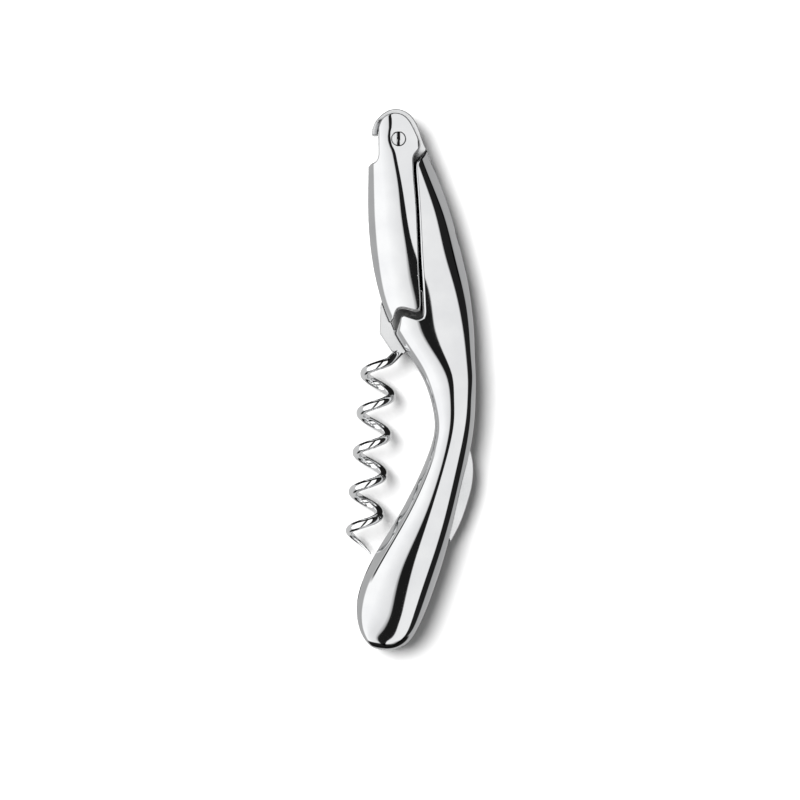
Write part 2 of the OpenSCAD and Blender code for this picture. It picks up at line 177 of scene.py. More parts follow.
# The part of the core plate that is the butt's spacer, and the ribs where the plate starts at its two edges
BUTT_ZONE = [[-20, -40.5], [14, -43.6], [14, -70], [-20, -70]]
CORE_RIBS = (6, 2)

# Arcs that outlines run along, in degrees: the shoulder, the hub, the blade's root, and the hub's swing
SHOULDER_ARC = (-8, -49)
HUB_ARC = (-56, 163)
BLADE_ROOT_ARC = (212, -37)
SWING_ARC = (36.2, 95.7)

# The shells' round shoulder by the ears, the ears' screw hole, and the shallow dish round it
SHOULDER_R = 6.6
HEAD_HOLE_R = 1.66
DISH_LEAN = 0.13
DISH_WIDTH = 1.4

# How round the edges are: the recess's rim, the lever, its screw hole, the hook, the core, the hub and the
# blade
RIM_R = 0.6
LEVER_EDGE_R = 0.3
HOLE_EDGE_R = 0.1
HOOK_EDGE_R = 0.22
CORE_EDGE_R = 0.06
HUB_EDGE_R = 0.25
BLADE_EDGE_R = 0.15

# The pivot screw: its head, the groove across it, the disc under the groove, and the shaft
HEAD_R = 1.57
HEAD_EDGE_R = 0.14
HEAD_TOP, HEAD_LOW = 5.5, 4.9
HEAD_TILT = 0.08
GROOVE_HALF = 0.22
DISC_TOP, DISC_LOW = 5.0, 4.2
SHAFT_R = 1.25
SHAFT_EDGE_R = 0.05
SHAFT_TOP, SHAFT_LOW = 4.3, 2.3
# How far the flat plates' shading leans towards +X, as on plates that are ground a little crowned
PLATE_LEAN = 0.2

# What the flat pieces measure: half their thickness, and round their pins
HUB_HALF = 1.9
HUB_R = 2.9
HUB_BORE_R = 1.05
BLADE_HALF = 0.6
BLADE_ROOT_R = 2.5
BLADE_BORE_R = 0.95
# The rooms in the core round the hub, where the hub swings, round the knife's root and round the rivet
HUB_ROOM_R = 3.3
SWING_ROOM_R = 10.15
KNIFE_ROOM_R = 2.9
RIVET_ROOM_R = 1.65

# The worm: its helix and wire, how its last turns leave the helix and taper, and the axis it winds round
WORM_R = 3.35
WIRE_R = 1.075
PITCH = 9.2
LEAN = math.radians(5.6)
TURNS = 4.86
FIRST_TURN = 0.15
LAST_BEND = 4.5
COIL_POINTS = 230
ROOT_STEPS = 8
TAPER_TURNS = 0.5
TAPER_POWER = 0.8
TIP_DROP = 1.7
POINT_R = 0.12
AXIS_TOP = np.array([-6.75, 5.6, 0])
AXIS_DOWN = np.array([-math.sin(LEAN), -math.cos(LEAN), 0])
AXIS_RIGHT = np.array([math.cos(LEAN), -math.sin(LEAN), 0])
WIRE_ROOT = [[-0.5, 9.2, 0], [-1.25, 7.8, 0.05], [-2.2, 6.7, 0.6]]

# The picture: its middle (mm), how wide a strip it shows (m), the lens and sensor (mm), and the nearest
# distance that is drawn (m)
VIEW_MIDDLE = (-2.33, -4.81)
VIEW_WIDTH = 0.186
LENS = 120
SENSOR = 36
CLIP_START = 0.01

# Angle from overhead towards +X, and the sky's brightness there
ACROSS_SKY = [
    (-90, 0.29), (-80, 0.29), (-77, 0.72), (-50, 0.72), (-12, 0.56), (-8.5, 0.30), (-7, 0.008), (7.5, 0.008),
    (8.5, 0.60), (40, 0.60), (42, 0.01), (78, 0.01), (81, 0.25), (90, 0.28),
]
# The dark ends of the room: where along Y they start, how that shifts with height, and their brightness
BACK_END = (0.47, 0.53)
FRONT_END = (-0.83, -0.77)
END_SLOPE = 0.45
UNLIT = 0.02
# The dark gap low down towards +Y: brightness by height over the horizon, and where along Y it starts
LOW_SKY = [(-90, 1), (11, 1), (12.5, 0.02), (17, 0.02), (18.5, 1), (90, 1)]
GAP_ALONG = (0.25, 0.32)
SKY_STRENGTH = 2.0
FILL_STRENGTH = 0.17
FLOOR_SIZE = 4.0
KEY_SIZE = 0.76
KEY_WATTS = 25
KEY_PLACE = (-0.45, 0.28, 1.12)
BACKDROP_STRENGTH = 1.0

# How far around (mm) other faces make the painted shade in the steel's crevices and the paper's gaps, and
# how that is found:
# rays sent out, the steel's range of openness from dark to clear, and the paper's range
CREVICE = 5
PAPER_GAP = 14
OPEN_SAMPLES = 8
CREVICE_RANGE = 0.2
PAPER_RANGE = (0.08, 0.22)
# The dark colour painted in as shade in crevices and gaps, then plain white, and the paper's two tones
PAINTED_SHADE = (0.02, 0.02, 0.02, 1)
WHITE = (1.0, 1.0, 1.0, 1.0)
PAPER = ((0.88, 0.88, 0.88, 1), (0.9, 0.9, 0.9, 1))

# Patterns on the steel: their scales, and the parts of the noise that color it, smudge it and scratch it
SMUDGE_SCALE = 120
SCRATCH_SCALE = 700
TINTED = (0.35, 0.65)
SMUDGED = (0.3, 0.7)
SCRATCHED = (0.62, 0.75)


# ---- curves -------------------------------------------------------------


class Spline:
    """Smooth curve through a list of points; point i is at the value knots[i], or at the value i."""

    def __init__(self, points, knots=None):
        self.p = np.asarray(points, float)
        n = len(self.p)
        self.x = np.arange(n, dtype=float) if knots is None else knots
        h = np.diff(self.x)
        rows = np.eye(n)
        right = np.zeros_like(self.p)
        for i in range(1, n - 1):
            rows[i, i - 1 : i + 2] = h[i - 1], 2 * (h[i - 1] + h[i]), h[i]
            right[i] = 6 * ((self.p[i + 1] - self.p[i]) / h[i] - (self.p[i] - self.p[i - 1]) / h[i - 1])
        self.bend = np.linalg.solve(rows, right)
        self.end = self.x[-1]

    def __call__(self, at):
        at = np.asarray(at, float)
        i = np.clip(np.searchsorted(self.x, at, "right") - 1, 0, len(self.x) - 2)
        h = self.x[i + 1] - self.x[i]
        f = ((at - self.x[i]) / h)[:, None]
        g = 1 - f
        curve = (g**3 - g) * self.bend[i] + (f**3 - f) * self.bend[i + 1]
        return g * self.p[i] + f * self.p[i + 1] + curve * (h * h)[:, None] / 6


def smooth(points, steps=12):
    """The list of points as a smooth line."""
    apart = np.linalg.norm(np.diff(np.asarray(points, float), axis=0), axis=1)
    curve = Spline(points, np.r_[0, np.cumsum(np.sqrt(apart))])
    part = np.arange(steps) / steps
    at = (curve.x[:-1, None] + np.diff(curve.x)[:, None] * part).ravel()
    return curve(np.r_[at, curve.end])


def even(line, gap):
    """The same line with its points a set distance apart."""
    line = np.asarray(line, float)
    length = np.r_[0, np.cumsum(np.linalg.norm(np.diff(line, axis=0), axis=1))]
    at = np.linspace(0, length[-1], max(2, int(round(length[-1] / gap)) + 1))
    return np.column_stack([np.interp(at, length, line[:, k]) for k in range(line.shape[1])])


def arc(centre, r, start, end, count):
    """Points along a circle from one angle to another, in degrees."""
    a = np.radians(np.linspace(start, end, count))
    return np.column_stack([centre[0] + r * np.cos(a), centre[1] + r * np.sin(a)])


def unit(v):
    """The same vectors, each with the length 1."""
    return v / np.maximum(np.linalg.norm(v, axis=-1, keepdims=True), 1e-12)


def normals_right(line, closed=False):
    """At each point of a line in the plan, the direction to its right."""
    if closed:
        along = np.roll(line, -1, 0) - np.roll(line, 1, 0)
    else:
        along = np.gradient(line, axis=0)
    along = unit(along)
    return np.column_stack([along[:, 1], -along[:, 0]])


# ---- crowned skins ------------------------------------------------------


# How many times an arch is smoothed and set right again
FITTING_PASSES = 6
# Steps along the ribs for finding a place on the crown, and for the slope there
LOCATE_STEPS = 2400
SLOPE_STEP = 0.02
# Places that are measured against a cut at one time, and the rings along a cut in radii of its edge
BATCH = 1500
RINGS = (0.1, 0.3, 0.55, 0.8, 1.05)


class Section:
    """The arch over one rib, as tables over the angle from 0 to 180 that the surface has turned through.

    Its lean is that angle less 90, and the bands fix where it leans by each of LEANS.
    """

    ANGLES = np.arange(181)
    SMOOTHER = np.array([0.05, 0.1, 0.2, 0.3, 0.2, 0.1, 0.05])

    def __init__(self, bands, width, crest):
        wanted = np.array([0, *bands, 1])
        known = np.array([-90, *LEANS, 90])
        places = wanted.copy()
        for _ in range(FITTING_PASSES):
            table = self.table(places, known)
            places[1:-1] += wanted[1:-1] - np.interp(known[1:-1] + 90, self.ANGLES, table)
            places = np.maximum.accumulate(places)
        self.across = self.table(places, known)
        middle = np.radians(self.ANGLES[:-1] + 0.5)
        climb = np.r_[0, np.cumsum(np.diff(self.across) * width / np.tan(middle))]
        self.up = crest + climb - climb[CREST_ANGLE]
        self.first = (self.up > CORE).argmax()
        self.last = 180 - (self.up[::-1] > CORE).argmax()
        self.draw_out(self.across, self.first)
        mirrored = 1 - self.across[::-1]
        self.draw_out(mirrored, 180 - self.last)
        self.across = 1 - mirrored[::-1]
        self.up = np.maximum(self.up, CORE)

    @staticmethod
    def draw_out(across, first):
        """Moves the place where the arch starts out to the edge, and the rest of its steep part with it."""
        end = max(STEEP, min(first + STEEP_LEAST, CREST_ANGLE - 1))
        start = across[first]
        across[:end] = np.clip((across[:end] - start) / (across[end] - start), 0, 1) * across[end]

    def table(self, places, known):
        """How far across the rib each angle comes."""
        across = np.interp(-np.cos(np.radians(self.ANGLES)), np.sin(np.radians(known)), places)
        ends = np.r_[-across[3:0:-1], across, 2 - across[-2:-5:-1]]
        return np.convolve(ends, self.SMOOTHER, "valid")


class Crown:
    """The crowned surface over a list of ribs. A place on it is a rib number and an angle from 0 to 180."""

    def __init__(self, ribs, all_bands, flare=()):
        self.end = len(ribs) - 1
        rows = []
        for i, (x, y, x2, y2, height) in enumerate(ribs):
            wider = flare[i] if i < len(flare) else 0
            width = math.hypot(x2 - x, y2 - y)
            bands = np.array(all_bands[i]) * width / (width + wider)
            s = Section(bands, width + wider, CREST * height)
            rows.append(np.r_[x, y, x2 + wider, y2, s.first, s.last, s.across, s.up])
        self.curve = Spline(rows)
        self.count = len(Section.ANGLES)

    def tables(self, s):
        """The angle tables of ribs read off the curve: how far across, and how high."""
        return np.clip(s[:, 6 : 6 + self.count], 0, 1), s[:, 6 + self.count :]

    def point(self, t, angle):
        """Points of the surface at places on it."""
        s = self.curve(t)
        across, up = self.tables(s)
        i = np.clip(angle.astype(int), 0, self.count - 2)
        f = angle - i
        n = np.arange(len(t))
        place = across[n, i] * (1 - f) + across[n, i + 1] * f
        height = up[n, i] * (1 - f) + up[n, i + 1] * f
        plan = s[:, 0:2] + (s[:, 2:4] - s[:, 0:2]) * place[:, None]
        return np.column_stack([plan, height])

    def normal(self, t, angle):
        """Directions out of the surface at places on it."""
        lo, hi = np.clip(t - SLOPE_STEP, 0, self.end), np.clip(t + SLOPE_STEP, 0, self.end)
        down = self.point(hi, angle) - self.point(lo, angle)
        s = self.curve(t)
        side = unit(s[:, 2:4] - s[:, 0:2])
        turn = np.radians(np.clip(angle, s[:, 4], s[:, 5]))
        over = np.column_stack([side * np.sin(turn)[:, None], np.cos(turn)])
        return unit(np.cross(down, over))

    def locate(self, plan):
        """Rib number and angle of places in the plan; outside the body the angle stops at 0 or 180."""
        t = np.linspace(0, self.end, LOCATE_STEPS + 1)
        s = self.curve(t)
        d = s[:, 2:4] - s[:, 0:2]
        to = plan[:, None, :] - s[None, :, 0:2]
        side = d[None, :, 0] * to[:, :, 1] - d[None, :, 1] * to[:, :, 0]
        first = (side[:, :-1] * side[:, 1:] <= 0).argmax(1)
        n = np.arange(len(plan))
        before, after = side[n, first], side[n, first + 1]
        t = (first + before / (before - after)) * (self.end / LOCATE_STEPS)
        s = self.curve(t)
        d = s[:, 2:4] - s[:, 0:2]
        u = np.clip(((plan - s[:, 0:2]) * d).sum(1) / (d * d).sum(1), 0, 1)
        across = self.tables(s)[0]
        i = np.clip((across < u[:, None]).sum(1) - 1, 0, self.count - 2)
        f = (u - across[n, i]) / np.maximum(across[n, i + 1] - across[n, i], 1e-9)
        return np.column_stack([t, i + np.clip(f, 0, 1)])

    def spread_out(self, places):
        """Places on the crown as points of a plane, for making triangles."""
        t, angle = places[:, 0], np.clip(places[:, 1], 0, 180)
        i = np.clip(angle.astype(int), 0, self.count - 2)
        across = self.tables(self.curve(t))[0]
        n = np.arange(len(t))
        place = across[n, i] + (across[n, i + 1] - across[n, i]) * (angle - i)
        return np.column_stack([place * U_SCALE + places[:, 1] * A_SCALE, -t * T_SCALE])

    def gathered(self, points):
        """Rib number and angle of points of that plane."""
        t = np.clip(-points[:, 1] / T_SCALE, 0, self.end)
        table = self.tables(self.curve(t))[0] * U_SCALE + Section.ANGLES * A_SCALE
        i = np.clip((table < points[:, :1]).sum(1) - 1, 0, self.count - 2)
        n = np.arange(len(t))
        f = (points[:, 0] - table[n, i]) / (table[n, i + 1] - table[n, i])
        return t, i + np.clip(f, 0, 1)


class Cut:
    """A line in the plan that a skin is cut along, open on its right, and how round that edge is."""

    def __init__(self, line, radius, closed=False):
        self.line = line
        self.radius = radius
        self.closed = closed
        self.out = normals_right(line, closed)

    def near(self, plan):
        """Distance of each place from the line, and the direction out over it."""
        a = self.line
        b = np.roll(a, -1, 0)
        out_b = np.roll(self.out, -1, 0)
        if not self.closed:
            a, b, out_a, out_b = a[:-1], b[:-1], self.out[:-1], out_b[:-1]
        else:
            out_a = self.out
        far = np.empty(len(plan))
        out = np.empty((len(plan), 2))
        ab = b - a
        for i in range(0, len(plan), BATCH):
            p = plan[i : i + BATCH, None, :]
            f = np.clip(((p - a) * ab).sum(2) / np.maximum((ab * ab).sum(1), 1e-12), 0, 1)
            gap = np.linalg.norm(p - (a + f[:, :, None] * ab), axis=2)
            k = gap.argmin(1)
            n = np.arange(len(k))
            f = f[n, k][:, None]
            far[i : i + BATCH] = gap[n, k]
            out[i : i + BATCH] = unit(out_a[k] * (1 - f) + out_b[k] * f)
        return far, out

    def rings(self):
        """Points on the open line's material side, where the edge is rounded."""
        made = []
        for part in RINGS:
            inner = self.line - self.out * self.radius * part
            far, _ = self.near(inner)
            made.append(inner[far > self.radius * part * 0.97][:: 2 if part > 0.5 else 1])
        return np.concatenate(made)


# How places on a crown are spread out for making triangles: per rib, per rib's width, and per degree
T_SCALE = 6.5
U_SCALE = 10
A_SCALE = 0.03
# The least room left at a cut (mm) and at the body's edges (degrees), and what counts as on such an edge
EDGE_GAP = 0.03
EDGE_ANGLE = 0.4
ON_EDGE = 0.01


def triangles(points, loops):
    """Triangles over the points, each with the numbers of the loops that it lies in."""
    turned = []
    for loop in loops:
        x, y = points[loop].T
        area = (x * np.roll(y, -1) - y * np.roll(x, -1)).sum()
        turned.append(loop if area > 0 else loop[::-1])
    made = delaunay_2d_cdt([Vector(p) for p in points], [], turned, 0, 1e-7)
    places = np.array([tuple(v) for v in made[0]])
    faces = []
    for f, within in zip(made[2], made[5]):
        a, b, c = places[list(f)]
        if (b[0] - a[0]) * (c[1] - a[1]) - (b[1] - a[1]) * (c[0] - a[0]) < 0:
            f = f[::-1]
        faces.append((tuple(f), set(within)))
    return places, faces


def inside(loop, p):
    """Which of the places p lie inside the loop."""
    a, b = loop, np.roll(loop, -1, 0)
    crosses = (a[:, 1] > p[:, None, 1]) != (b[:, 1] > p[:, None, 1])
    rise = np.where(b[:, 1] == a[:, 1], 1e-12, b[:, 1] - a[:, 1])
    at = a[:, 0] + (p[:, None, 1] - a[:, 1]) * (b[:, 0] - a[:, 0]) / rise
    return (crosses & (p[:, None, 0] < at)).sum(1) % 2 == 1


def trimmed(places, first, last):
    """Drops the places past the body's edges (angle 0 or 180), but for the one nearest to it at each end."""
    keep = (places[:, 1] > ON_EDGE) & (places[:, 1] < 180 - ON_EDGE)
    start = keep.argmax()
    stop = len(keep) - keep[::-1].argmax()
    kept = places[max(start - 1, 0) : min(stop + 1, len(keep))].copy()
    kept[0, 1], kept[-1, 1] = first, last
    return kept


def rounded(p, n, cuts):
    """Lets the surface down and leans its normals outward near the cuts."""
    for c in cuts:
        far, out = c.near(p[:, :2])
        lean = np.clip((c.radius - far) / c.radius, 0, 1)[:, None]
        level = np.sqrt(1 - lean**2)
        p[:, 2] -= c.radius * (1 - level[:, 0])
        n = unit(n * level + np.column_stack([out, np.zeros(len(out))]) * lean)
    return p, n


def numbered(loops):
    """The points of all the loops, and each loop as numbers of those points."""
    starts = np.r_[0, np.cumsum([len(one) for one in loops])]
    return np.concatenate(loops), [list(range(a, b)) for a, b in zip(starts[:-1], starts[1:])]


def crowned_top(crown, cuts, loop, zone, t_range, step_t=0.1, step_a=5):
    """The crowned surface inside a loop of places, rounded at the cuts and pierced by the closed ones.

    Gives points, normals, and faces with the loops that each lies in: first the body, holes, last the zone.
    """
    holes = [crown.locate(c.line) for c in cuts if c.closed]
    loops = [loop] + holes + ([] if zone is None else [zone])
    t = np.arange(t_range[0], t_range[1], step_t)
    grid = np.array([(i, k) for i in t for k in np.arange(step_a, 180, step_a)])
    free = np.concatenate([crown.locate(c.rings()) for c in cuts] + [grid])
    free = free[inside(loop, free) & (free[:, 1] > EDGE_ANGLE) & (free[:, 1] < 180 - EDGE_ANGLE)]
    plan = crown.point(free[:, 0], free[:, 1])[:, :2]
    for c in cuts:
        far, _ = c.near(plan)
        free, plan = free[far > EDGE_GAP], plan[far > EDGE_GAP]
    points, numbers = numbered(loops)
    places, faces = triangles(crown.spread_out(np.concatenate([points, free])), numbers)
    t, a = crown.gathered(places)
    p, n = rounded(crown.point(t, a), crown.normal(t, a), cuts)
    p[:, 2] = np.maximum(p[:, 2], CORE)
    return p, n, faces


def flat_top(loops, cuts, height):
    """A level surface over all the loops, the first one outermost, rounded at the cuts."""
    points, numbers = numbered(loops)
    extra = np.concatenate([c.rings() for c in cuts])
    extra = extra[inside(loops[0], extra)]
    places, faces = triangles(np.concatenate([points, extra]), numbers)
    p = np.column_stack([places, np.full(len(places), height)])
    n = np.tile(unit(np.array([PLATE_LEAN, 0.0, 1.0])), (len(p), 1))
    return *rounded(p, n, cuts), faces


# ---- meshes -------------------------------------------------------------


# Points that fall into one cell are joined; this many cells to a millimetre
WELD_CELLS = 2000


class Shape:
    """Faces gathered bit by bit, with the normals that their corners are shaded by."""

    def __init__(self):
        self.points, self.normals, self.faces, self.count = [], [], [], 0

    def add(self, points, normals, faces):
        normals = np.broadcast_to(np.asarray(normals, float), np.shape(points))
        self.points.append(np.asarray(points, float))
        self.normals.append(normals)
        self.faces += [tuple(i + self.count for i in f) for f in faces]
        self.count += len(points)

    def add_mirrored(self, other):
        """The other shape's faces on the far side of the middle plane."""
        flip = np.array([1, 1, -1])
        p, n = np.concatenate(other.points) * flip, np.concatenate(other.normals) * flip
        self.add(p, n, [f[::-1] for f in other.faces])

    def add_walls(self, p, n, edges, low):
        """Upright walls below edges, the material on their left, down to low or to their mirror image."""
        for a, b in edges:
            top = p[[a, b]]
            bottom = top * [1, 1, -1] if low is None else np.column_stack([top[:, :2], [low, low]])
            side = unit(n[[a, b]] * [1, 1, 0])
            corners = [top[0], bottom[0], bottom[1], top[1]]
            self.add(corners, [side[0], side[0], side[1], side[1]], [(0, 1, 2, 3)])

    def build(self, name, body, material, slot, replaces):
        """Makes the object, level below FLAT_Z, with the points that fall together joined."""
        p = np.concatenate(self.points)
        n = np.concatenate(self.normals)
        low = p[:, 2] < FLAT_Z
        p[low, 2] = FLAT_Z
        n = np.where(low[:, None], [0, 0, -1], n)
        cells = np.round(p * WELD_CELLS).astype(np.int64)
        _, first, same = np.unique(cells, axis=0, return_index=True, return_inverse=True)
        same = same.reshape(-1)
        faces, corners = [], []
        for f in self.faces:
            seen = [i for k, i in enumerate(f) if same[i] != same[f[k - 1]]]
            if len(seen) > 2 and len({same[i] for i in seen}) == len(seen):
                faces.append([int(same[i]) for i in seen])
                corners += [tuple(n[i]) for i in seen]
        used = sorted({i for f in faces for i in f})
        renumbered = {old: new for new, old in enumerate(used)}
        faces = [[renumbered[i] for i in f] for f in faces]
        mesh = bpy.data.meshes.new(name)
        mesh.from_pydata(((p[first][used] + [0, 0, MID_Z]) * MM).tolist(), [], faces)
        mesh.polygons.foreach_set("use_smooth", [True] * len(faces))
        mesh.normals_split_custom_set(corners)
        return place(bpy.data.objects.new(name, mesh), body, material, slot, replaces)


def place(obj, body, material, slot, replaces):
    """Puts an object into the scene as a piece of the body, instead of the CAD nodes it replaces."""
    bpy.context.scene.collection.objects.link(obj)
    obj.data.materials.clear()
    obj.data.materials.append(material)
    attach(obj, body)
    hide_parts(*replaces)
    return obj


def boundary(faces):
    """Edges of the faces that no other face of them runs the other way."""
    edges = {(f[k], f[(k + 1) % len(f)]) for f in faces for k in range(len(f))}
    return sorted(e for e in edges if e[::-1] not in edges)


def slab(p, n, faces, low):
    """A solid between a top and a level underside."""
    shape = Shape()
    shape.add(p, n, faces)
    shape.add(np.column_stack([p[:, :2], np.full(len(p), low)]), (0, 0, -1), [f[::-1] for f in faces])
    shape.add_walls(p, n, boundary(faces), low)
    return shape


def both_sides(p, n, faces):
    """A solid between a top and its mirror image."""
    top = Shape()
    top.add(p, n, faces)
    shape = Shape()
    shape.add(p, n, faces)
    shape.add_mirrored(top)
    shape.add_walls(p, n, boundary(faces), None)
    return shape


def tube(line, radii, lean_to, sides=20):
    """A round wire along the line, closed at both ends."""
    along = unit(np.gradient(line, axis=0))
    side = unit(lean_to - along * (lean_to * along).sum(1, keepdims=True))
    other = np.cross(along, side)
    turn = np.linspace(0, 2 * math.pi, sides, endpoint=False)[None, :, None]
    out = np.cos(turn) * side[:, None, :] + np.sin(turn) * other[:, None, :]
    p = line[:, None, :] + out * radii[:, None, None]
    faces = []
    for i in range(len(line) - 1):
        for k in range(sides):
            j = (k + 1) % sides
            faces.append((i * sides + k, i * sides + j, (i + 1) * sides + j, (i + 1) * sides + k))
    shape = Shape()
    shape.add(p.reshape(-1, 3), out.reshape(-1, 3), faces)
    shape.add(p[0], -along[0], [tuple(range(sides))[::-1]])
    shape.add(p[-1], along[-1], [tuple(range(sides))])
    return shape


# ---- pieces -------------------------------------------------------------

# Steps along cut edges, the blade's and the web's (mm), and along the body's edges (ribs)
EDGE_STEP = 0.15
BLADE_STEP = 0.2
WEB_STEP = 0.4
RIB_STEP = 0.05
# The ribs that the lever has, and the part of them that it covers
LEVER_RIBS = 9
LEVER_RANGE = (0.5, 7.2)


def handle_shells(steel):
    """The two polished halves of the handle, cut out for the lever and its shoulder."""
    crown = Crown(RIBS, BANDS)
    shoulder = arc(LEVER_PIVOT, SHOULDER_R, *SHOULDER_ARC, 14)
    line = even(np.concatenate([shoulder, smooth(RECESS)]), EDGE_STEP)
    kept = trimmed(crown.locate(line), 180, 0)
    inner = [(t, 0) for t in np.arange(kept[-1, 0] + RIB_STEP, crown.end, RIB_STEP)]
    butt = [(crown.end, a) for a in np.arange(0, 181, 15)]
    back = [(t, 180) for t in np.arange(crown.end - RIB_STEP, kept[0, 0], -RIB_STEP)]
    loop = np.concatenate([kept, inner, butt, back])
    p, n, faces = crowned_top(crown, [Cut(line, RIM_R)], loop, None, (kept[0, 0], crown.end))
    near = slab(p, n, [f for f, zones in faces if 0 in zones], CORE)
    far = Shape()
    far.add_mirrored(near)
    near.build("handle_near_skin", "handle", steel, "mirror_steel", ["near_shell"])
    far.build("handle_far_skin", "handle", steel, "mirror_steel", ["far_shell"])


def dished(p, n):
    """Leans the normals round the screw towards it, as in a dish about 0.16 mm deep."""
    to = np.array(LEVER_PIVOT) - p[:, :2]
    r = np.linalg.norm(to, axis=1, keepdims=True)
    lean = DISH_LEAN * np.exp(-(((r - HEAD_HOLE_R) / DISH_WIDTH) ** 2)) * n[:, 2:]
    return unit(n + np.column_stack([to / r * lean, np.zeros(len(p))]))


def lever_top():
    """The lever's crowned top, with faces marked by whether they lie over the web."""
    ribs = [[*s[:4], min(s[4], LEVER_RISE)] for s in RIBS[:LEVER_RIBS]]
    crown = Crown(ribs, EAR_BANDS + BANDS[2:], EAR_FLARE)
    parts = [smooth(one)[::-1] for one in (LEVER_FOOT, LEVER_BACK, EAR, LEVER_STEP)]
    line = even(np.concatenate(parts), EDGE_STEP)
    kept = trimmed(crown.locate(line), 0, 0)
    front = [(t, 0) for t in np.arange(kept[-1, 0] + RIB_STEP, kept[0, 0], RIB_STEP)]
    web = crown.locate(even(WEB_INNER, WEB_STEP))
    zone = np.concatenate([web, [(web[-1, 0], -5), (web[0, 0], -5)]])
    hole = arc(LEVER_PIVOT, HEAD_HOLE_R, 360, 0, 61)[:-1]
    cuts = [Cut(line, LEVER_EDGE_R), Cut(hole, HOLE_EDGE_R, closed=True)]
    p, n, faces = crowned_top(crown, cuts, np.concatenate([kept, front]), zone, LEVER_RANGE)
    return p, dished(p, n), [(f, 2 in zones) for f, zones in faces if 0 in zones and 1 not in zones]


def lever_skin(steel):
    """The lever: a cheek on either side of the slot, joined by the web along its front."""
    p, n, faces = lever_top()
    cheek = [f for f, in_web in faces if not in_web]
    web = [f for f, in_web in faces if in_web]
    outer = set(boundary(cheek + web))
    near = Shape()
    near.add(p, n, cheek + web)
    near.add(np.column_stack([p[:, :2], np.full(len(p), SLOT)]), (0, 0, -1), [f[::-1] for f in cheek])
    near.add_walls(p, n, [e for e in boundary(cheek) if e in outer], SLOT)
    shape = Shape()
    shape.add(np.concatenate(near.points), np.concatenate(near.normals), near.faces)
    shape.add_mirrored(near)
    shape.add_walls(p, n, [e for e in boundary(web) if e in outer], None)
    channel = [e for e in boundary(web) if e not in outer]
    faced = np.zeros_like(p)
    for a, b in channel:
        d = p[b] - p[a]
        faced[[a, b]] += [d[1], -d[0], 0]
    shape.add_walls(np.column_stack([p[:, :2], np.full(len(p), SLOT)]), faced, channel, None)
    shape.build("lever_skin", "lever", steel, "mirror_steel", ["lever"])


def core_pockets():
    """Loops round the rooms in the core plate: the hub's, the knife's, the spring's and the rivet's."""
    worm, knife = np.array(WORM_PIVOT), np.array(KNIFE_PIVOT)
    spring = smooth(SPRING_LINE)
    beside = normals_right(spring) * SPRING_ROOM
    return [
        arc(worm, HUB_ROOM_R, 0, 360, 49)[:-1],
        worm + np.array(HUB_ROOM),
        np.concatenate([worm + np.array(SWING_ROOM), arc(worm, SWING_ROOM_R, *SWING_ARC, 30)]),
        np.array(KNIFE_SLOT, float),
        arc(knife, KNIFE_ROOM_R, 0, 360, 49)[:-1],
        np.concatenate([spring + beside, (spring - beside)[::-1]]),
        arc(RIVET, RIVET_ROOM_R, 0, 360, 33)[:-1],
    ]


def core_skins(steel):
    """The handle's middle plate with the cap lifter hook, and the block that fills its butt."""
    crown = Crown(RIBS, BANDS)
    t = np.arange(CORE_RIBS[0], crown.end, RIB_STEP)
    inner = crown.point(t, np.zeros(len(t)))[:, :2]
    t = np.arange(crown.end, CORE_RIBS[1], -RIB_STEP)
    back = crown.point(t, np.full(len(t), 180.0))[:, :2]
    hook = even(np.concatenate([smooth(HOOK_OUTER), smooth(HOOK_INNER)]), EDGE_STEP)
    outline = np.concatenate([inner, back, hook, smooth(CORE_FRONT)])
    cuts = [Cut(hook, HOOK_EDGE_R), Cut(even(np.concatenate([inner, back]), 2 * EDGE_STEP), CORE_EDGE_R)]
    loops = [outline, np.array(BUTT_ZONE, float)] + core_pockets()
    p, n, faces = flat_top(loops, cuts, CORE)
    pockets = set(range(2, len(loops)))
    solid = [(f, zones) for f, zones in faces if 0 in zones and not zones & pockets]
    core = both_sides(p, n, [f for f, zones in solid if 1 not in zones])
    core.build("core_skin", "handle", steel, "satin_steel", ["core_plate"])
    spacer = both_sides(p, n, [f for f, zones in solid if 1 in zones])
    spacer.build("butt_spacer_skin", "handle", steel, "satin_steel", ["butt_spacer"])


def worm_wire(steel):
    """The worm: a right-handed coil drawn out to a point, with a root that runs into the hub."""

    def coil(t):
        ending = np.maximum(0, (t - LAST_BEND) / (TURNS - LAST_BEND))
        turn = 2 * math.pi * t
        middle = AXIS_TOP + AXIS_DOWN * (PITCH * t + TIP_DROP * ending**2)
        return middle + WORM_R * (np.cos(turn) * AXIS_RIGHT + np.array([0, 0, 1]) * np.sin(turn))

    t = np.linspace(FIRST_TURN, TURNS, COIL_POINTS)[:, None]
    turns = coil(t)
    root = smooth(np.array(WIRE_ROOT + [turns[0].tolist(), turns[2].tolist()]), ROOT_STEPS)[:-ROOT_STEPS]
    line = np.concatenate([root[:-1], turns])
    left = (TURNS - t[:, 0]) / TAPER_TURNS
    taper = POINT_R + (WIRE_R - POINT_R) * np.clip(left, 0, 1) ** TAPER_POWER
    radii = np.concatenate([np.full(len(root) - 1, WIRE_R), taper])
    from_top = line - AXIS_TOP
    out = from_top - AXIS_DOWN * (from_top @ AXIS_DOWN)[:, None]
    tube(line, radii, out).build("worm_wire", "worm", steel, "mirror_steel", ["worm"])


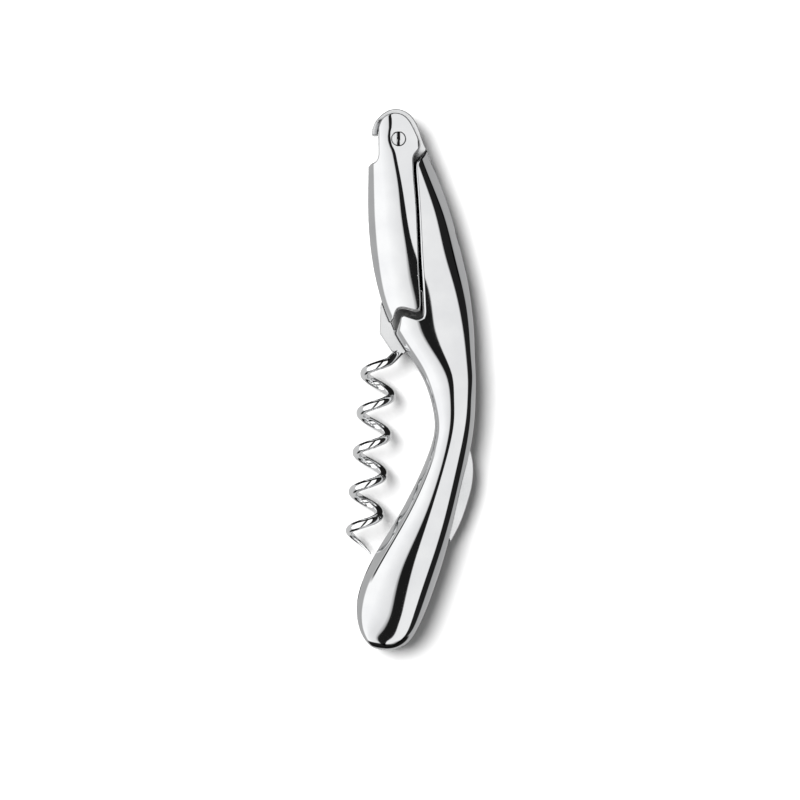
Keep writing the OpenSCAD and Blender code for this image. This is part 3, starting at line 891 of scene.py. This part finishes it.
def hub_plate(steel):
    """The flat plate that carries the worm and turns about the worm pin."""
    round_end = arc(WORM_PIVOT, HUB_R, *HUB_ARC, 40)
    outline = even(np.concatenate([HUB_HEEL, round_end, HUB_HEEL[:1]]), EDGE_STEP)[:-1]
    bore = arc(WORM_PIVOT, HUB_BORE_R, 360, 0, 33)[:-1]
    cuts = [Cut(outline, HUB_EDGE_R, closed=True)]
    p, n, faces = flat_top([outline, bore], cuts, HUB_HALF)
    hub = both_sides(p, n, [f for f, zones in faces if 0 in zones and 1 not in zones])
    hub.build("worm_hub_skin", "worm", steel, "mirror_steel", ["worm_hub"])


def blade(steel):
    """The foil knife, flat, with its root round the knife pin."""
    spine, edge = smooth(BLADE_SPINE), smooth(BLADE_EDGE)
    root = arc(KNIFE_PIVOT, BLADE_ROOT_R, *BLADE_ROOT_ARC, 40)
    outline = even(np.concatenate([edge[::-1], spine[::-1], root[::-1], edge[-1:]]), BLADE_STEP)[:-1]
    bore = arc(KNIFE_PIVOT, BLADE_BORE_R, 360, 0, 33)[:-1]
    cuts = [Cut(outline, BLADE_EDGE_R, closed=True)]
    p, n, faces = flat_top([outline, bore], cuts, BLADE_HALF)
    made = both_sides(p, n, [f for f, zones in faces if 0 in zones and 1 not in zones])
    made.build("knife_blade_skin", "knife", steel, "satin_steel", ["knife_blade"])


def tilted(n, lean):
    """The same normals, those that face up leaning towards +X."""
    return unit(n + np.outer(n[:, 2], [lean, 0, 0]))


def button(rim, radius, top, low):
    """A short round pillar with a rounded upper edge and a level top."""
    p, n, faces = flat_top([rim], [Cut(rim, radius, closed=True)], top)
    n = tilted(n, -PLATE_LEAN)
    return slab(p, n, [f for f, zones in faces if 0 in zones], low)


def screw_and_nut(steel):
    """The slotted screw at the lever's pivot, and the nut that meets it from the far side."""
    rim = arc(LEVER_PIVOT, HEAD_R, 0, 360, 61)[:-1]
    half, far = GROOVE_HALF, 2 * HEAD_R
    groove = np.array(LEVER_PIVOT) + [[-half, -far], [half, -far], [half, far], [-half, far]]
    p, n, faces = flat_top([rim, groove], [Cut(rim, HEAD_EDGE_R, closed=True)], HEAD_TOP)
    p[:, 2] -= (p[:, 0] - LEVER_PIVOT[0]) * HEAD_TILT
    n = tilted(n, HEAD_TILT - PLATE_LEAN)
    head = slab(p, n, [f for f, zones in faces if 0 in zones and 1 not in zones], HEAD_LOW)
    disc = button(rim, HEAD_EDGE_R, DISC_TOP, DISC_LOW)
    shaft = button(arc(LEVER_PIVOT, SHAFT_R, 0, 360, 41)[:-1], SHAFT_EDGE_R, SHAFT_TOP, SHAFT_LOW)
    screw, nut = Shape(), Shape()
    for one in (head, disc, shaft):
        screw.add(np.concatenate(one.points), np.concatenate(one.normals), one.faces)
    nut.add_mirrored(screw)
    screw.build("lever_screw_skin", "handle", steel, "satin_steel", ["lever_screw"])
    nut.build("lever_nut_skin", "handle", steel, "satin_steel", ["lever_nut"])


# ---- materials ----------------------------------------------------------


def noise(nodes, links, where, scale, detail, stretch=(1, 1, 1)):
    """A cloudy pattern over the object's own coordinates."""
    mapping = nodes.new("ShaderNodeMapping")
    mapping.inputs["Scale"].default_value = stretch
    links.new(where, mapping.inputs["Vector"])
    made = nodes.new("ShaderNodeTexNoise")
    made.inputs["Scale"].default_value = scale
    made.inputs["Detail"].default_value = detail
    links.new(mapping.outputs["Vector"], made.inputs["Vector"])
    return made.outputs["Fac"]


def spread(nodes, links, value, low, high, out_low, out_high):
    """The value with its range from low to high spread over another range, and kept within that."""
    made = nodes.new("ShaderNodeMapRange")
    for socket, number in (("From Min", low), ("From Max", high), ("To Min", out_low), ("To Max", out_high)):
        made.inputs[socket].default_value = number
    links.new(value, made.inputs["Value"])
    return made.outputs["Result"]


def mixed(nodes, links, factor, first, second):
    """A color between two others, each given as a color or as a socket."""
    made = nodes.new("ShaderNodeMix")
    made.data_type = "RGBA"
    links.new(factor, made.inputs["Factor"])
    for name, color in (("A", first), ("B", second)):
        if isinstance(color, tuple):
            made.inputs[name].default_value = color
        else:
            links.new(color, made.inputs[name])
    return made.outputs["Result"]


def steel_material(name, dark, light, rough, scratch_rough, bump, stretch, shade_openness):
    """Polished or brushed steel: smudged, finely scratched, faintly uneven, and with shade painted dark into
    its crevices.

    Openness below the value of the last argument counts as a crevice, and its colour there is painted shade.
    """
    material = bpy.data.materials.new(name)
    material.use_nodes = True
    nodes, links = material.node_tree.nodes, material.node_tree.links
    shader = nodes["Principled BSDF"]
    shader.inputs["Metallic"].default_value = 1
    where = nodes.new("ShaderNodeTexCoord").outputs["Object"]
    smudge = noise(nodes, links, where, SMUDGE_SCALE, 3)
    scratch = noise(nodes, links, where, SCRATCH_SCALE, 2, stretch)
    color = mixed(nodes, links, spread(nodes, links, smudge, *TINTED, 0, 1), (*dark, 1), (*light, 1))
    # Painted shade: the base colour goes to the shade colour where ambient occlusion finds the steel hemmed
    # in by other faces
    hollow = nodes.new("ShaderNodeAmbientOcclusion")
    hollow.inputs["Distance"].default_value = CREVICE * MM
    hollow.samples = OPEN_SAMPLES
    open_air = spread(nodes, links, hollow.outputs["AO"], shade_openness - CREVICE_RANGE, shade_openness, 0, 1)
    links.new(mixed(nodes, links, open_air, PAINTED_SHADE, color), shader.inputs["Base Color"])
    total = nodes.new("ShaderNodeMath")
    total.operation = "ADD"
    links.new(spread(nodes, links, smudge, *SMUDGED, *rough), total.inputs[0])
    links.new(spread(nodes, links, scratch, *SCRATCHED, 0, scratch_rough), total.inputs[1])
    links.new(total.outputs["Value"], shader.inputs["Roughness"])
    uneven = nodes.new("ShaderNodeBump")
    uneven.inputs["Strength"].default_value = bump[0]
    uneven.inputs["Distance"].default_value = bump[1] * MM
    links.new(scratch, uneven.inputs["Height"])
    links.new(uneven.outputs["Normal"], shader.inputs["Normal"])
    return material


def floor_material():
    """White paper, with shade painted into its colour inside gaps too narrow for light to reach it."""
    material = bpy.data.materials.new("pale_sweep")
    material.use_nodes = True
    nodes, links = material.node_tree.nodes, material.node_tree.links
    shader = nodes["Principled BSDF"]
    shader.inputs["Roughness"].default_value = 0.9
    shader.inputs["Specular IOR Level"].default_value = 0.0
    where = nodes.new("ShaderNodeTexCoord").outputs["Object"]
    grain = noise(nodes, links, where, 40, 2)
    paper = mixed(nodes, links, grain, *PAPER)
    # Painted shade: the paper's colour goes dark where ambient occlusion finds it in a narrow gap
    gap = nodes.new("ShaderNodeAmbientOcclusion")
    gap.inputs["Distance"].default_value = PAPER_GAP * MM
    gap.samples = OPEN_SAMPLES
    lit = spread(nodes, links, gap.outputs["AO"], *PAPER_RANGE, 0, 1)
    links.new(mixed(nodes, links, lit, PAINTED_SHADE, paper), shader.inputs["Base Color"])
    return material


# ---- studio -------------------------------------------------------------


def sky_ramp(nodes, links, value, stops):
    """Brightness over an angle, from stops of (degrees, light)."""
    ramp = nodes.new("ShaderNodeValToRGB")
    links.new(spread(nodes, links, value, -math.pi / 2, math.pi / 2, 0, 1), ramp.inputs["Fac"])
    ends = ramp.color_ramp.elements
    for _ in stops[1:-1]:
        ends.new(0.5)
    for element, (degrees, light) in zip(ends, stops):
        element.position = (degrees + 90) / 180
        element.color = (light, light, light, 1)
    return ramp.outputs["Color"]


def maths(nodes, links, operation, *values):
    """The result of one operation on values given as sockets."""
    node = nodes.new("ShaderNodeMath")
    node.operation = operation
    for socket, value in zip(node.inputs, values):
        links.new(value, socket)
    return node.outputs["Value"]


def backlight(nodes, strength):
    """Plain white light from all round."""
    made = nodes.new("ShaderNodeBackground")
    made.inputs["Color"].default_value = WHITE
    made.inputs["Strength"].default_value = strength
    return made


def studio_world():
    """The room that the steel mirrors: softboxes left and right of a dark slot overhead, with dark ends.

    A dark gap runs low down towards +Y. Diffuse rays meet an even light instead of the room, and the camera
    sees plain white.
    """
    world = bpy.data.worlds.new("studio")
    bpy.context.scene.world = world
    world.use_nodes = True
    nodes, links = world.node_tree.nodes, world.node_tree.links
    parts = nodes.new("ShaderNodeSeparateXYZ")
    links.new(nodes.new("ShaderNodeTexCoord").outputs["Generated"], parts.inputs["Vector"])
    across = maths(nodes, links, "ARCTAN2", parts.outputs["X"], parts.outputs["Z"])
    low = sky_ramp(nodes, links, maths(nodes, links, "ARCSINE", parts.outputs["Z"]), LOW_SKY)
    there = spread(nodes, links, parts.outputs["Y"], *GAP_ALONG, 0, 1)
    raised = spread(nodes, links, parts.outputs["Z"], 0, 1, 0, END_SLOPE)
    back = maths(nodes, links, "SUBTRACT", parts.outputs["Y"], raised)
    front = maths(nodes, links, "ADD", parts.outputs["Y"], raised)
    light = sky_ramp(nodes, links, across, ACROSS_SKY)
    for part in (
        spread(nodes, links, back, *BACK_END, 1, UNLIT),
        spread(nodes, links, front, *FRONT_END, UNLIT, 1),
        mixed(nodes, links, there, WHITE, low),
    ):
        both = nodes.new("ShaderNodeVectorMath")
        both.operation = "MULTIPLY"
        links.new(light, both.inputs[0])
        links.new(part, both.inputs[1])
        light = both.outputs["Vector"]
    sky = backlight(nodes, SKY_STRENGTH)
    links.new(light, sky.inputs["Color"])
    rays = nodes.new("ShaderNodeLightPath")
    soft = nodes.new("ShaderNodeMixShader")
    links.new(rays.outputs["Is Diffuse Ray"], soft.inputs["Fac"])
    links.new(sky.outputs["Background"], soft.inputs[1])
    links.new(backlight(nodes, FILL_STRENGTH).outputs["Background"], soft.inputs[2])
    seen = nodes.new("ShaderNodeMixShader")
    links.new(rays.outputs["Is Camera Ray"], seen.inputs["Fac"])
    links.new(soft.outputs["Shader"], seen.inputs[1])
    links.new(backlight(nodes, BACKDROP_STRENGTH).outputs["Background"], seen.inputs[2])
    links.new(seen.outputs["Shader"], nodes["World Output"].inputs["Surface"])


def studio():
    """The floor under the corkscrew, the lamp that casts its shadow, and the room."""
    bpy.ops.mesh.primitive_plane_add(size=FLOOR_SIZE, location=(0, 0, CAD_BOX[0].z))
    floor = bpy.context.object
    floor.name = "floor"
    floor.data.materials.append(floor_material())
    floor.visible_glossy = False
    key = bpy.data.objects.new("key_light", bpy.data.lights.new("key_light", "AREA"))
    key.data.shape = "DISK"
    key.data.size = KEY_SIZE
    key.data.energy = KEY_WATTS
    key.location = KEY_PLACE
    key.rotation_mode = "QUATERNION"
    key.rotation_quaternion = Vector(KEY_PLACE).to_track_quat("Z", "Y")
    key.visible_glossy = False
    bpy.context.scene.collection.objects.link(key)
    studio_world()


def camera():
    """Straight above the handle, with its length upright in the picture."""
    data = bpy.data.cameras.new("camera")
    data.lens = LENS
    data.sensor_width = SENSOR
    made = bpy.data.objects.new("camera", data)
    x, y = VIEW_MIDDLE
    made.location = (x * MM, y * MM, MID_Z * MM + VIEW_WIDTH * LENS / SENSOR)
    data.clip_start = CLIP_START
    bpy.context.scene.collection.objects.link(made)
    bpy.context.scene.camera = made


# ---- the scene ----------------------------------------------------------


mirror = steel_material(
    "mirror_steel", dark=(0.63, 0.635, 0.645), light=(0.68, 0.685, 0.69), rough=(0.03, 0.055),
    scratch_rough=0.02, bump=(0.02, 0.004), stretch=(1, 1, 1), shade_openness=0.42,
)
satin = steel_material(
    "satin_steel", dark=(0.5, 0.505, 0.52), light=(0.6, 0.605, 0.61), rough=(0.2, 0.3),
    scratch_rough=0.08, bump=(0.15, 0.01), stretch=(1, 0.08, 1), shade_openness=0.6,
)
spring = steel_material(
    "spring_steel", dark=(0.3, 0.32, 0.36), light=(0.38, 0.4, 0.43), rough=(0.22, 0.34),
    scratch_rough=0.08, bump=(0.15, 0.01), stretch=(0.1, 1, 1), shade_openness=0.6,
)
plate = steel_material(
    "plate_steel", dark=(0.6, 0.605, 0.61), light=(0.66, 0.665, 0.67), rough=(0.12, 0.18),
    scratch_rough=0.05, bump=(0.1, 0.006), stretch=(1, 0.08, 1), shade_openness=0.6,
)
wire = steel_material(
    "wire_steel", dark=(0.9, 0.905, 0.91), light=(0.95, 0.955, 0.96), rough=(0.03, 0.06),
    scratch_rough=0.03, bump=(0.02, 0.004), stretch=(1, 1, 1), shade_openness=0.25,
)

handle_shells(mirror)
lever_skin(mirror)
core_skins(plate)
worm_wire(wire)
hub_plate(plate)
blade(plate)
screw_and_nut(mirror)

# The CAD nodes get a steel too; those that no skin replaces are seen in it
for node, obj in frame["nodes"].items():
    obj.data.materials.clear()
    obj.data.materials.append(spring if node == "back_spring" else satin)

studio()
camera()
bpy.context.scene.view_settings.view_transform = "Standard"
